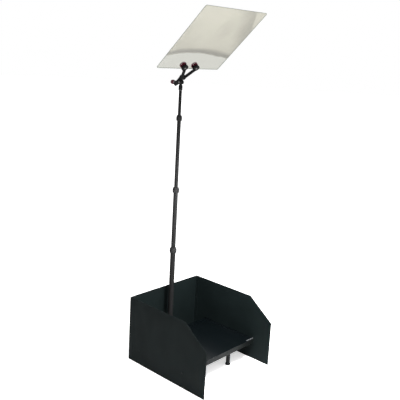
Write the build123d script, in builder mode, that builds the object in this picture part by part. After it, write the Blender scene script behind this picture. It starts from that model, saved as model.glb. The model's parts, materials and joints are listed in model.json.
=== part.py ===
from build123d import *
import os
from math import cos, radians, sin

# ---------------------------------------------------------------------------
# Stage teleprompter: a monitor lies face up in a three-walled black hood on
# the floor. A telescopic pole stands behind the monitor. Its tilting head
# carries a sheet of beam-splitter glass at the speaker's eye height.
#
# Millimetres. The origin is on the floor at the middle of the hood.
# +X runs along the back wall, +Y points to the back wall (the audience),
# -Y is the hood's open front (the speaker), +Z is up.
# ---------------------------------------------------------------------------
os.makedirs("parts", exist_ok=True)

# Hood
HOOD_W = 506.0
HOOD_D = 546.0
HOOD_H = 350.0
TOP_RUN = 397.0           # level top edge of a side wall, measured from the back
FRONT_H = 240.0           # height of a side wall's front edge
SHEET = 2.0
FLANGE = 18.0             # bent edges of the back wall
RIVET_R = 2.0
RIVET_HEAD_R = 3.6
RIVET_HEAD_H = 1.1
RIVET_HEIGHTS = (40, 130, 220, 310)

# Base frame
BAR = 25.0                # square tube
BAR_WALL = 2.0
BAR_TOP = 91.0
FRONT_BAR_Y = -121.0
REAR_BAR_Y = 190.0
LEG_X = 100.0
LEG_R = 11.0
LEG_BOTTOM = 12.3
FOOT_R = 14.5
FOOT_TOP_R = 11.5
FOOT_H = 12.0
FOOT_STUD_R = 4.0
FOOT_STUD_LEN = 32.0
BOLT_X = 19.5             # bolts that hold the pole clamp to the rear crossbar
SCREW_R = 3.0
SCREW_HEAD_R = 5.5
SCREW_HEAD_H = 1.4
PAN_W = 260.0
PAN_SHEET = 1.5
PAN_SLOT_LEN = 140.0      # lightening slots each side of the pan
PAN_SLOT_W = 40.0
PAN_SLOT_X = 90.0
MOUNT_PITCH = 100.0       # screw square on the monitor's back
MOUNT_SCREW_R = 2.0
MOUNT_HEAD_R = 4.0
MOUNT_HEAD_H = 2.4

# Monitor, lying on its back
MON_W = 499.0
MON_FRONT_Y = -170.0
MON_BACK_Y = 187.0
MON_TOP = 120.0
MON_BOTTOM = BAR_TOP + PAN_SHEET
MON_WALL = 2.5
BEZEL_T = 2.0
SCREEN_W = 474.0
SCREEN_D = 297.0
CHIN = 36.0               # bezel depth along the front edge
PANEL_LAP = 6.0           # how far the panel reaches under the bezel
PANEL_T = 2.6
BACKLIGHT_T = 6.0
BOARD_W = 180.0
BOARD_D = 140.0
BOARD_T = 1.6
CHIP_T = 3.0
STRIP_LEN = 55.0
STRIP_DEPTH = 7.0
BUTTON_LEN = 8.0
BUTTON_DEPTH = 3.6
BUTTON_PITCH = 13.0
BUTTON_PROUD = 1.5        # height above the bezel, of which 0.8 is travel

# Pole
POLE_Y = 226.0
TUBE_R = (14.0, 12.0, 10.0, 8.0)
TUBE_WALL = 1.25
LOCK_Z = (567.0, 897.0, 1273.0)
LOCK_R = (19.0, 17.5, 15.0)
LOCK_H = 29.0
TUBE_END = 2.0            # how far a tube's end stands above its lock's middle
SECTION_LEN = 452.0
POLE_TOP = 1412.0
BUSH_LEN = 25.0
RUN_FIT = 0.05            # radial clearance of a running fit

# Head and glass
LEAN = 46.8               # glass, from the vertical
GLASS_W = 435.0
GLASS_LEN = 407.0
GLASS_T = 4.0
GLASS_CORNER = 8.0
GLASS_EDGE_Y = 178.0      # middle of the glass's lower edge
GLASS_EDGE_Z = 1522.0
CLAMP_X = 40.0
CLAMP_UP = 13.0           # clamp centres, up the glass from its lower edge
CLAMP_R = 17.5
DISC_T = 8.8
PAD_T = 1.2
PAD_R = 12.0
STUD_R = 3.0
KNOB_T = 16.0
PIVOT_Z = 1452.0
EYE_R = 9.5
EYE_NECK = 11.6           # width of the tongue below its eye
TONGUE = 9.6
BAR_W = 23.0
BAR_T = 10.0
HEAD_BAR_TOP = 2.0        # top face of the tilt bar, above the glass's middle plane
HEAD_BAR_LOW = 125.0      # lower end of the tilt bar, down the slope from the glass's edge
LOCK_ANGLE = 41.0         # tilt lock screw, raised from the bar
TILT_KNOB_R = 11.5

HALF_W = HOOD_W / 2
HALF_D = HOOD_D / 2
INNER_X = HALF_W - SHEET
BAR_MID_Z = BAR_TOP - BAR / 2
MON_MID_Y = (MON_FRONT_Y + MON_BACK_Y) / 2
MON_D = MON_BACK_Y - MON_FRONT_Y
SHELL_TOP = MON_TOP - BEZEL_T
SCREEN_MID_Y = MON_FRONT_Y + CHIN + SCREEN_D / 2
WALL_PROFILE = [
    (-HALF_D, 0),
    (-HALF_D, FRONT_H),
    (HALF_D - TOP_RUN, HOOD_H),
    (HALF_D, HOOD_H),
    (HALF_D, 0),
]

# Directions in the glass: "down" runs down its slope, "out" is its upper, rear
# normal. Every head piece is placed by slope coordinates (x, down, out).
DOWN = Vector(0, sin(radians(LEAN)), -cos(radians(LEAN)))
OUT = Vector(0, cos(radians(LEAN)), sin(radians(LEAN)))
EDGE = Vector(0, GLASS_EDGE_Y, GLASS_EDGE_Z)
PIVOT = Vector(0, POLE_Y, PIVOT_Z)
PIVOT_DOWN = (PIVOT - EDGE).dot(DOWN)
PIVOT_OUT = (PIVOT - EDGE).dot(OUT)


def slope_point(x, down, out):
    """A point given across, down and out of the glass's middle plane."""
    return EDGE + Vector(x, 0, 0) + DOWN * down + OUT * out


def slope_plane(x, down, out):
    """A plane parallel to the glass, with local +Y down the slope."""
    return Plane(origin=slope_point(x, down, out), x_dir=(1, 0, 0), z_dir=OUT)


def cross_plane(x):
    """The vertical plane at x, through the tilt axis, with local +X down the slope."""
    return Plane(origin=PIVOT + Vector(x, 0, 0), x_dir=DOWN, z_dir=(1, 0, 0))


# --------------------------------------------------------------------- hood
for side, x_outer in (("left", -HALF_W), ("right", INNER_X)):
    with BuildPart() as hood_side:
        with BuildSketch(Plane.YZ.offset(x_outer)):
            with BuildLine():
                Polyline(WALL_PROFILE, close=True)
            make_face()
        extrude(amount=SHEET)
        rivet_y = HALF_D - SHEET - FLANGE / 2
        with BuildSketch(Plane.YZ.offset(x_outer)):
            with Locations([(rivet_y, z) for z in RIVET_HEIGHTS]):
                Circle(RIVET_R + 0.1)
            with Locations((FRONT_BAR_Y, BAR_MID_Z), (REAR_BAR_Y, BAR_MID_Z)):
                Circle(SCREW_R + 0.2)
        extrude(amount=SHEET, mode=Mode.SUBTRACT)
    hood_side.part.label = f"hood_{side}"
    export_step(hood_side.part, f"parts/hood_{side}.step")

with BuildPart() as hood_back:
    with BuildSketch(Plane.XY):
        with Locations((0, HALF_D - SHEET / 2)):
            Rectangle(2 * INNER_X, SHEET)
        for sign in (-1, 1):
            with Locations((sign * (INNER_X - SHEET / 2), HALF_D - SHEET - FLANGE / 2)):
                Rectangle(SHEET, FLANGE)
    extrude(amount=HOOD_H)
    with BuildSketch(Plane.YZ.offset(-INNER_X)):
        with Locations([(HALF_D - SHEET - FLANGE / 2, z) for z in RIVET_HEIGHTS]):
            Circle(RIVET_R + 0.1)
    extrude(amount=2 * INNER_X, mode=Mode.SUBTRACT)
hood_back.part.label = "hood_back"
export_step(hood_back.part, "parts/hood_back.step")

with BuildPart() as hood_rivets:
    for sign in (-1, 1):
        for z in RIVET_HEIGHTS:
            centre = (sign * HALF_W, HALF_D - SHEET - FLANGE / 2, z)
            with BuildSketch(Plane(origin=centre, z_dir=(sign, 0, 0))):
                Circle(RIVET_HEAD_R)
            extrude(amount=RIVET_HEAD_H, taper=25)
            with BuildSketch(Plane(origin=centre, z_dir=(-sign, 0, 0))):
                Circle(RIVET_R)
            extrude(amount=2 * SHEET)
            inner = (sign * (INNER_X - SHEET), centre[1], z)
            with BuildSketch(Plane(origin=inner, z_dir=(-sign, 0, 0))):
                Circle(RIVET_R + 1.0)
            extrude(amount=RIVET_HEAD_H, taper=20)
hood_rivets.part.label = "hood_rivets"
export_step(hood_rivets.part, "parts/hood_rivets.step")

# --------------------------------------------------------------- base frame
for name, bar_y in (("front_crossbar", FRONT_BAR_Y), ("rear_crossbar", REAR_BAR_Y)):
    with BuildPart() as crossbar:
        with BuildSketch(Plane.YZ.offset(-INNER_X)):
            with Locations((bar_y, BAR_MID_Z)):
                RectangleRounded(BAR, BAR, 2.5)
        extrude(amount=2 * INNER_X)
        with BuildSketch(Plane.YZ.offset(-INNER_X + 2 * BAR_WALL)):
            with Locations((bar_y, BAR_MID_Z)):
                RectangleRounded(BAR - 2 * BAR_WALL, BAR - 2 * BAR_WALL, 1.0)
        extrude(amount=2 * INNER_X - 4 * BAR_WALL, mode=Mode.SUBTRACT)
        with BuildSketch(Plane.YZ.offset(-INNER_X)):
            with Locations((bar_y, BAR_MID_Z)):
                Circle(SCREW_R + 0.1)
        extrude(amount=2 * INNER_X, mode=Mode.SUBTRACT)
        if name == "rear_crossbar":
            with BuildSketch(Plane.XZ.offset(-bar_y - BAR)):
                with Locations((-BOLT_X, BAR_MID_Z), (BOLT_X, BAR_MID_Z)):
                    Circle(SCREW_R + 0.1)
            extrude(amount=BAR, mode=Mode.SUBTRACT)
    crossbar.part.label = name
    export_step(crossbar.part, f"parts/{name}.step")

for side, leg_x in (("left", -LEG_X), ("right", LEG_X)):
    with BuildPart() as leg:
        with BuildSketch(Plane.XY.offset(LEG_BOTTOM)):
            with Locations((leg_x, FRONT_BAR_Y)):
                Circle(LEG_R)
        extrude(amount=BAR_TOP - BAR - LEG_BOTTOM)
        with BuildSketch(Plane.XY.offset(LEG_BOTTOM)):
            with Locations((leg_x, FRONT_BAR_Y)):
                Circle(FOOT_STUD_R + RUN_FIT)
        extrude(amount=FOOT_STUD_LEN + 2, mode=Mode.SUBTRACT)
    leg.part.label = f"leg_{side}"
    export_step(leg.part, f"parts/leg_{side}.step")

    with BuildPart() as foot:
        with BuildSketch(Plane(origin=(leg_x, FRONT_BAR_Y, 0), x_dir=(1, 0, 0), z_dir=(0, -1, 0))):
            with BuildLine():
                Polyline(
                    (0, 0), (FOOT_R - 1, 0), (FOOT_R, 1), (FOOT_R, 4), (FOOT_TOP_R, 8),
                    (FOOT_TOP_R, FOOT_H), (FOOT_STUD_R, FOOT_H),
                    (FOOT_STUD_R, FOOT_H + FOOT_STUD_LEN), (0, FOOT_H + FOOT_STUD_LEN),
                    close=True,
                )
            make_face()
        revolve(axis=Axis((leg_x, FRONT_BAR_Y, 0), (0, 0, 1)))
    foot.part.label = f"foot_{side}"
    export_step(foot.part, f"parts/foot_{side}.step")

# Pole clamp: a split block bolted to the back of the rear crossbar.
CLAMP_FRONT = REAR_BAR_Y + BAR / 2
CLAMP_BACK = 258.0
CLAMP_HALF_W = 26.0
CLAMP_H = 35.0
CLAMP_BOTTOM = BAR_MID_Z - CLAMP_H / 2
PINCH_Y = 249.0
BOLT_HEAD_DEPTH = 6.0
with BuildPart() as pole_clamp:
    with BuildSketch(Plane.XY.offset(CLAMP_BOTTOM)):
        with Locations((0, (CLAMP_FRONT + CLAMP_BACK) / 2)):
            RectangleRounded(2 * CLAMP_HALF_W, CLAMP_BACK - CLAMP_FRONT, 4)
        with Locations((0, POLE_Y)):
            Circle(TUBE_R[0] + RUN_FIT, mode=Mode.SUBTRACT)
        with Locations((0, POLE_Y + 20)):
            Rectangle(2.4, 40, mode=Mode.SUBTRACT)
    extrude(amount=CLAMP_H)
    with BuildSketch(Plane.XZ.offset(-CLAMP_BACK)):
        with Locations((-BOLT_X, BAR_MID_Z), (BOLT_X, BAR_MID_Z)):
            Circle(SCREW_R + 0.1)
    extrude(amount=CLAMP_BACK - CLAMP_FRONT, mode=Mode.SUBTRACT)
    with BuildSketch(Plane.XZ.offset(-CLAMP_BACK)):
        with Locations((-BOLT_X, BAR_MID_Z), (BOLT_X, BAR_MID_Z)):
            Circle(SCREW_HEAD_R + 0.2)
    extrude(amount=BOLT_HEAD_DEPTH, mode=Mode.SUBTRACT)
    with BuildSketch(Plane.YZ.offset(-CLAMP_HALF_W)):
        with Locations((PINCH_Y, CLAMP_BOTTOM + 5)):
            Circle(1.6)
    extrude(amount=2 * CLAMP_HALF_W, mode=Mode.SUBTRACT)
pole_clamp.part.label = "pole_clamp"
export_step(pole_clamp.part, "parts/pole_clamp.step")

with BuildPart() as frame_screws:
    for sign in (-1, 1):
        for bar_y in (FRONT_BAR_Y, REAR_BAR_Y):
            with BuildSketch(Plane(origin=(sign * HALF_W, bar_y, BAR_MID_Z), z_dir=(sign, 0, 0))):
                Circle(SCREW_HEAD_R)
            extrude(amount=SCREW_HEAD_H, taper=20)
            with BuildSketch(Plane(origin=(sign * HALF_W, bar_y, BAR_MID_Z), z_dir=(-sign, 0, 0))):
                Circle(SCREW_R)
            extrude(amount=14)
        head_seat = (sign * BOLT_X, CLAMP_BACK - BOLT_HEAD_DEPTH, BAR_MID_Z)
        with BuildSketch(Plane(origin=head_seat, z_dir=(0, 1, 0))):
            Circle(SCREW_HEAD_R)
        extrude(amount=BOLT_HEAD_DEPTH - 1)
        with BuildSketch(Plane(origin=head_seat, z_dir=(0, -1, 0))):
            Circle(SCREW_R)
        extrude(amount=CLAMP_BACK - CLAMP_FRONT - BOLT_HEAD_DEPTH + 2 * BAR_WALL)
frame_screws.part.label = "frame_screws"
export_step(frame_screws.part, "parts/frame_screws.step")

# Pan: the sheet that joins the crossbars and carries the monitor.
PAN_FRONT = FRONT_BAR_Y - BAR / 2
PAN_BACK = REAR_BAR_Y + BAR / 2
with BuildPart() as monitor_pan:
    with BuildSketch(Plane.XY.offset(BAR_TOP)):
        with Locations((0, (PAN_FRONT + PAN_BACK) / 2)):
            Rectangle(PAN_W, PAN_BACK - PAN_FRONT)
        with Locations((0, MON_MID_Y)):
            with GridLocations(MOUNT_PITCH, MOUNT_PITCH, 2, 2):
                Circle(MOUNT_SCREW_R + 0.2, mode=Mode.SUBTRACT)
            with Locations((-PAN_SLOT_X, 0), (PAN_SLOT_X, 0)):
                SlotOverall(PAN_SLOT_LEN, PAN_SLOT_W, rotation=90, mode=Mode.SUBTRACT)
    extrude(amount=PAN_SHEET)
monitor_pan.part.label = "monitor_pan"
export_step(monitor_pan.part, "parts/monitor_pan.step")

with BuildPart() as mount_screws:
    with BuildSketch(Plane.XY.offset(BAR_TOP)):
        with Locations((0, MON_MID_Y)):
            with GridLocations(MOUNT_PITCH, MOUNT_PITCH, 2, 2):
                Circle(MOUNT_SCREW_R)
    extrude(amount=PAN_SHEET + 6)
    with BuildSketch(Plane.XY.offset(BAR_TOP)):
        with Locations((0, MON_MID_Y)):
            with GridLocations(MOUNT_PITCH, MOUNT_PITCH, 2, 2):
                Circle(MOUNT_HEAD_R)
    extrude(amount=-MOUNT_HEAD_H, taper=15)
mount_screws.part.label = "mount_screws"
export_step(mount_screws.part, "parts/mount_screws.step")

# ------------------------------------------------------------------ monitor
INLET_X = -70.0
INLET_W = 27.0
INLET_H = 19.5
INLET_DEPTH = 17.0
INLET_FLOOR = 5.0         # solid back of the inlet
PIN_LEN = 6.0
PIN_X = 7.0
PIN_Z = 2.0
PORT_X = (40.0, 75.0)
PORT_W = 16.0
PORT_H = 7.0
PORT_DEPTH = 13.0
PORT_SHEET = 0.8
CONNECTOR_Z = 106.0
BOSS_R = 5.0
BOARD_Z = 98.5
STRIP_X = MON_W / 2 - 2 - STRIP_LEN / 2
STRIP_Y = MON_FRONT_Y + 2 + STRIP_DEPTH / 2
BUTTON_NAMES = ("power", "menu", "minus", "plus")
BUTTON_X = [STRIP_X + (i - 1.5) * BUTTON_PITCH for i in range(len(BUTTON_NAMES))]

with BuildPart() as monitor_rear_shell:
    with BuildSketch(Plane.XY.offset(MON_BOTTOM)):
        with Locations((0, MON_MID_Y)):
            RectangleRounded(MON_W, MON_D, 3)
    extrude(amount=SHELL_TOP - MON_BOTTOM)
    chamfer(monitor_rear_shell.faces().sort_by(Axis.Z)[0].edges(), 1.2)
    with BuildSketch(Plane.XY.offset(MON_BOTTOM + MON_WALL)):
        with Locations((0, MON_MID_Y)):
            Rectangle(MON_W - 2 * MON_WALL, MON_D - 2 * MON_WALL)
    extrude(amount=SHELL_TOP - MON_BOTTOM, mode=Mode.SUBTRACT)
    with BuildSketch(Plane.XY.offset(MON_BOTTOM + MON_WALL)):
        with Locations((0, MON_MID_Y)):
            with GridLocations(MOUNT_PITCH, MOUNT_PITCH, 2, 2):
                Circle(BOSS_R)
    extrude(amount=BOARD_Z - MON_BOTTOM - MON_WALL)
    with BuildSketch(Plane.XY.offset(MON_BOTTOM)):
        with Locations((0, MON_MID_Y)):
            with GridLocations(MOUNT_PITCH, MOUNT_PITCH, 2, 2):
                Circle(MOUNT_SCREW_R + 0.05)
    extrude(amount=7, mode=Mode.SUBTRACT)
    with BuildSketch(Plane.XZ.offset(-MON_BACK_Y)):
        with Locations((INLET_X, CONNECTOR_Z)):
            Rectangle(INLET_W + 0.4, INLET_H + 0.4)
        for port_x in PORT_X:
            with Locations((port_x, CONNECTOR_Z)):
                Rectangle(PORT_W + 0.4, PORT_H + 0.4)
    extrude(amount=MON_WALL, mode=Mode.SUBTRACT)
monitor_rear_shell.part.label = "monitor_rear_shell"
export_step(monitor_rear_shell.part, "parts/monitor_rear_shell.step")

with BuildPart() as monitor_bezel:
    with BuildSketch(Plane.XY.offset(SHELL_TOP)):
        with Locations((0, MON_MID_Y)):
            RectangleRounded(MON_W, MON_D, 3)
        with Locations((0, SCREEN_MID_Y)):
            Rectangle(SCREEN_W, SCREEN_D, mode=Mode.SUBTRACT)
    extrude(amount=BEZEL_T)
    outer_rim = monitor_bezel.faces().sort_by(Axis.Z)[-1].outer_wire().edges()
    fillet(outer_rim, 0.8)
    with BuildSketch(Plane.XY.offset(MON_TOP - 1)):
        with Locations((STRIP_X, STRIP_Y)):
            Rectangle(STRIP_LEN + 0.2, STRIP_DEPTH + 0.2)
    extrude(amount=2, mode=Mode.SUBTRACT)
    with BuildSketch(Plane.XY.offset(SHELL_TOP)):
        with Locations([(x, STRIP_Y) for x in BUTTON_X]):
            RectangleRounded(BUTTON_LEN + 0.6, BUTTON_DEPTH + 0.6, 1)
    extrude(amount=BEZEL_T, mode=Mode.SUBTRACT)
monitor_bezel.part.label = "monitor_bezel"
export_step(monitor_bezel.part, "parts/monitor_bezel.step")

with BuildPart() as lcd_panel:
    with BuildSketch(Plane.XY.offset(SHELL_TOP - PANEL_T)):
        with Locations((0, SCREEN_MID_Y)):
            Rectangle(SCREEN_W + 2 * PANEL_LAP, SCREEN_D + 2 * PANEL_LAP)
    extrude(amount=PANEL_T)
lcd_panel.part.label = "lcd_panel"
export_step(lcd_panel.part, "parts/lcd_panel.step")

with BuildPart() as backlight:
    with BuildSketch(Plane.XY.offset(SHELL_TOP - PANEL_T - BACKLIGHT_T)):
        with Locations((0, SCREEN_MID_Y)):
            Rectangle(SCREEN_W + 2 * PANEL_LAP, SCREEN_D + 2 * PANEL_LAP)
    extrude(amount=BACKLIGHT_T)
backlight.part.label = "backlight"
export_step(backlight.part, "parts/backlight.step")

with BuildPart() as main_board:
    with BuildSketch(Plane.XY.offset(BOARD_Z)):
        with Locations((0, MON_MID_Y)):
            Rectangle(BOARD_W, BOARD_D)
            with GridLocations(MOUNT_PITCH, MOUNT_PITCH, 2, 2):
                Circle(MOUNT_SCREW_R + 0.2, mode=Mode.SUBTRACT)
    extrude(amount=BOARD_T)
    with BuildSketch(Plane.XY.offset(BOARD_Z + BOARD_T)):
        with Locations((-30, MON_MID_Y - 20)):
            Rectangle(24, 24)
        with Locations((25, MON_MID_Y + 10)):
            Rectangle(14, 20)
        with Locations((-60, MON_MID_Y + 40), (-45, MON_MID_Y + 40)):
            Circle(5)
    extrude(amount=CHIP_T)
main_board.part.label = "main_board"
export_step(main_board.part, "parts/main_board.step")

with BuildPart() as power_inlet:
    with BuildSketch(Plane.XZ.offset(-MON_BACK_Y)):
        with Locations((INLET_X, CONNECTOR_Z)):
            RectangleRounded(INLET_W, INLET_H, 2)
    extrude(amount=INLET_DEPTH)
    with BuildSketch(Plane.XZ.offset(-MON_BACK_Y)):
        with Locations((INLET_X, CONNECTOR_Z)):
            RectangleRounded(INLET_W - 4, INLET_H - 4.5, 2)
    extrude(amount=INLET_DEPTH - INLET_FLOOR, mode=Mode.SUBTRACT)
    with BuildSketch(Plane.XZ.offset(-MON_BACK_Y + INLET_DEPTH - INLET_FLOOR)):
        with Locations((INLET_X, CONNECTOR_Z)):
            with Locations((-PIN_X, -PIN_Z), (0, PIN_Z), (PIN_X, -PIN_Z)):
                Rectangle(2, 4)
    extrude(amount=-PIN_LEN)
power_inlet.part.label = "power_inlet"
export_step(power_inlet.part, "parts/power_inlet.step")

with BuildPart() as signal_ports:
    for port_x in PORT_X:
        with BuildSketch(Plane.XZ.offset(-MON_BACK_Y)):
            with Locations((port_x, CONNECTOR_Z)):
                Rectangle(PORT_W, PORT_H)
        extrude(amount=PORT_DEPTH)
        with BuildSketch(Plane.XZ.offset(-MON_BACK_Y)):
            with Locations((port_x, CONNECTOR_Z)):
                Rectangle(PORT_W - 2 * PORT_SHEET, PORT_H - 2 * PORT_SHEET)
        extrude(amount=PORT_DEPTH - 2, mode=Mode.SUBTRACT)
signal_ports.part.label = "signal_ports"
export_step(signal_ports.part, "parts/signal_ports.step")

with BuildPart() as control_strip:
    with BuildSketch(Plane.XY.offset(MON_TOP - 1)):
        with Locations((STRIP_X, STRIP_Y)):
            Rectangle(STRIP_LEN, STRIP_DEPTH)
        with Locations([(x, STRIP_Y) for x in BUTTON_X]):
            RectangleRounded(BUTTON_LEN + 0.6, BUTTON_DEPTH + 0.6, 1, mode=Mode.SUBTRACT)
    extrude(amount=1.6)
control_strip.part.label = "control_strip"
export_step(control_strip.part, "parts/control_strip.step")

for button_name, button_x in zip(BUTTON_NAMES, BUTTON_X):
    with BuildPart() as button:
        with BuildSketch(Plane.XY.offset(SHELL_TOP - 0.8)):
            with Locations((button_x, STRIP_Y)):
                RectangleRounded(BUTTON_LEN, BUTTON_DEPTH, 0.8)
        extrude(amount=MON_TOP + BUTTON_PROUD - SHELL_TOP + 0.8)
        fillet(button.faces().sort_by(Axis.Z)[-1].edges(), 0.3)
    button.part.label = f"button_{button_name}"
    export_step(button.part, f"parts/button_{button_name}.step")

# --------------------------------------------------------------------- pole
POLE_AXIS = Axis((0, POLE_Y, 0), (0, 0, 1))
POLE_PLANE = Plane(origin=(0, POLE_Y, 0), x_dir=(1, 0, 0), z_dir=(0, -1, 0))
POLE_FOOT_H = 6.0
tube_top = [z + TUBE_END for z in LOCK_Z] + [POLE_TOP]
tube_bottom = [POLE_FOOT_H] + [top - SECTION_LEN for top in tube_top[1:]]
TUBE_NAMES = ("pole_tube", "section_2_tube", "section_3_tube", "section_4_tube")

with BuildPart() as pole_foot:
    with BuildSketch(POLE_PLANE):
        with BuildLine():
            Polyline(
                (0, 0), (16, 0), (17, 1), (17, POLE_FOOT_H),
                (TUBE_R[0] - TUBE_WALL - RUN_FIT, POLE_FOOT_H),
                (TUBE_R[0] - TUBE_WALL - RUN_FIT, 26), (0, 26),
                close=True,
            )
        make_face()
    revolve(axis=POLE_AXIS)
pole_foot.part.label = "pole_foot"
export_step(pole_foot.part, "parts/pole_foot.step")

for name, radius, bottom, top in zip(TUBE_NAMES, TUBE_R, tube_bottom, tube_top):
    with BuildPart() as tube:
        with BuildSketch(Plane.XY.offset(bottom)):
            with Locations((0, POLE_Y)):
                Circle(radius)
                Circle(radius - TUBE_WALL, mode=Mode.SUBTRACT)
        extrude(amount=top - bottom)
    tube.part.label = name
    export_step(tube.part, f"parts/{name}.step")

for number in (2, 3, 4):
    outer_r = TUBE_R[number - 2] - TUBE_WALL - RUN_FIT
    with BuildPart() as bush:
        with BuildSketch(Plane.XY.offset(tube_bottom[number - 1])):
            with Locations((0, POLE_Y)):
                Circle(outer_r)
                Circle(TUBE_R[number - 1] + 0.02, mode=Mode.SUBTRACT)
        extrude(amount=BUSH_LEN)
    bush.part.label = f"bush_{number}"
    export_step(bush.part, f"parts/bush_{number}.step")

# Twist locks: a slotted collet on the tube's end, squeezed by a turning collar.
COLLET_WALL = 1.6
CONE_H = 8.0
FLUTES = 12
for number, lock_z, lock_r in zip((1, 2, 3), LOCK_Z, LOCK_R):
    big_r = TUBE_R[number - 1]
    small_r = TUBE_R[number]
    low = lock_z - LOCK_H / 2
    high = lock_z + LOCK_H / 2
    shoulder = lock_z + TUBE_END
    cone_top = shoulder + CONE_H
    with BuildPart() as collet:
        with BuildSketch(POLE_PLANE):
            with BuildLine():
                Polyline(
                    (big_r + 0.03, low + 2), (big_r + COLLET_WALL, low + 2),
                    (big_r + COLLET_WALL, shoulder), (small_r + 1.8, cone_top),
                    (small_r + RUN_FIT, cone_top), (small_r + RUN_FIT, shoulder + 0.1),
                    (big_r + 0.03, shoulder + 0.1),
                    close=True,
                )
            make_face()
        revolve(axis=POLE_AXIS)
        with BuildSketch(Plane.XY.offset(shoulder + 2.0)):
            with Locations((0, POLE_Y)):
                with PolarLocations(small_r + 2, 4):
                    Rectangle(8, 1.2)
        extrude(amount=CONE_H, mode=Mode.SUBTRACT)
    collet.part.label = f"collet_{number}"
    export_step(collet.part, f"parts/collet_{number}.step")

    with BuildPart() as collar:
        with BuildSketch(POLE_PLANE):
            with BuildLine():
                Polyline(
                    (big_r + COLLET_WALL + 0.1, low), (lock_r - 2.0, low), (lock_r, low + 4),
                    (lock_r, high - 9), (lock_r - 2.5, high - 2), (lock_r - 4.5, high),
                    (small_r + 0.5, high), (small_r + 0.5, cone_top + 0.4),
                    (small_r + 2.1, cone_top + 0.4),
                    (big_r + COLLET_WALL + 0.1, shoulder + 0.1),
                    close=True,
                )
            make_face()
        revolve(axis=POLE_AXIS)
        with BuildSketch(Plane.XY.offset(low + 5)):
            with Locations((0, POLE_Y)):
                with PolarLocations(lock_r + 0.6, FLUTES):
                    Circle(1.5)
        extrude(amount=LOCK_H - 15, mode=Mode.SUBTRACT)
    collar.part.label = f"collar_{number}"
    export_step(collar.part, f"parts/collar_{number}.step")

# --------------------------------------------------------------------- head
SWIVEL_RING_T = 2.5
POST_R = 10.5
POST_BOTTOM = POLE_TOP + SWIVEL_RING_T + 0.1
POST_TOP = 1438.0
SPIGOT_R = TUBE_R[3] - TUBE_WALL - RUN_FIT
with BuildPart() as swivel_ring:
    with BuildSketch(Plane.XY.offset(POLE_TOP)):
        with Locations((0, POLE_Y)):
            Circle(POST_R)
            Circle(SPIGOT_R + 0.1, mode=Mode.SUBTRACT)
    extrude(amount=SWIVEL_RING_T)
swivel_ring.part.label = "swivel_ring"
export_step(swivel_ring.part, "parts/swivel_ring.step")

with BuildPart() as head_post:
    with BuildSketch(POLE_PLANE):
        with BuildLine():
            Polyline(
                (0, POLE_TOP - 27), (SPIGOT_R - 0.8, POLE_TOP - 27), (SPIGOT_R, POLE_TOP - 26),
                (SPIGOT_R, POST_BOTTOM), (POST_R - 0.6, POST_BOTTOM), (POST_R, POST_BOTTOM + 0.6),
                (POST_R, POST_TOP - 2), (POST_R - 2, POST_TOP), (0, POST_TOP),
                close=True,
            )
        make_face()
    revolve(axis=POLE_AXIS)
    with BuildSketch(Plane.YZ.offset(-TONGUE / 2)):
        with Locations((POLE_Y, (POST_TOP - 4 + PIVOT_Z) / 2)):
            Rectangle(EYE_NECK, PIVOT_Z - POST_TOP + 4)
        with Locations((POLE_Y, PIVOT_Z)):
            Circle(EYE_R)
    extrude(amount=TONGUE)
    with BuildSketch(Plane.YZ.offset(-TONGUE)):
        with Locations((POLE_Y, PIVOT_Z)):
            Circle(STUD_R + RUN_FIT)
    extrude(amount=2 * TONGUE, mode=Mode.SUBTRACT)
head_post.part.label = "head_post"
export_step(head_post.part, "parts/head_post.step")

CHEEK_R = 10.6
with BuildPart() as pivot_pin:
    with BuildSketch(Plane.YZ.offset(-BAR_W / 2)):
        with Locations((POLE_Y, PIVOT_Z)):
            Circle(STUD_R)
    extrude(amount=BAR_W)
    for sign in (-1, 1):
        with BuildSketch(Plane(origin=PIVOT + Vector(sign * BAR_W / 2, 0, 0), z_dir=(sign, 0, 0))):
            Circle(5.5)
        extrude(amount=2.2, taper=15)
pivot_pin.part.label = "pivot_pin"
export_step(pivot_pin.part, "parts/pivot_pin.step")

# Tilt bar: a rounded bar in line with the glass, with two cheeks down to the
# pivot, a fork block for the arms, and a slanted boss for the lock screw.
BAR_UNDER = HEAD_BAR_TOP - BAR_T
ARM_OUT = -10.0           # arm centre line, below the glass's middle plane
ARM_ROOT_R = 5.6          # the arm's tapered root, seated in the fork block
ARM_R = 7.6
ARM_END_R = 7.2
ARM_ROOT_X = 6.6
ARM_ROOT_DOWN = 60.0
ARM_SEAT = 14.0           # length of arm inside the fork block
FORK_LOW = 66.0
FORK_HIGH = 48.0
FORK_LOW_W = 25.0
FORK_HIGH_W = 31.0
FORK_UNDER = -17.4
LOCK_DIR = DOWN * cos(radians(LOCK_ANGLE)) + OUT * sin(radians(LOCK_ANGLE))
BOSS_START = 24.0
BOSS_END = 40.5
BOSS_LOCK_R = 7.5


def lock_plane(distance):
    """A plane square to the tilt lock screw, at a distance from the tilt axis."""
    return Plane(origin=PIVOT + LOCK_DIR * distance, x_dir=(1, 0, 0), z_dir=LOCK_DIR)


def arm_start(sign):
    return slope_point(sign * ARM_ROOT_X, ARM_ROOT_DOWN, ARM_OUT)


def arm_end(sign):
    return slope_point(sign * CLAMP_X, -CLAMP_UP, ARM_OUT)


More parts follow.
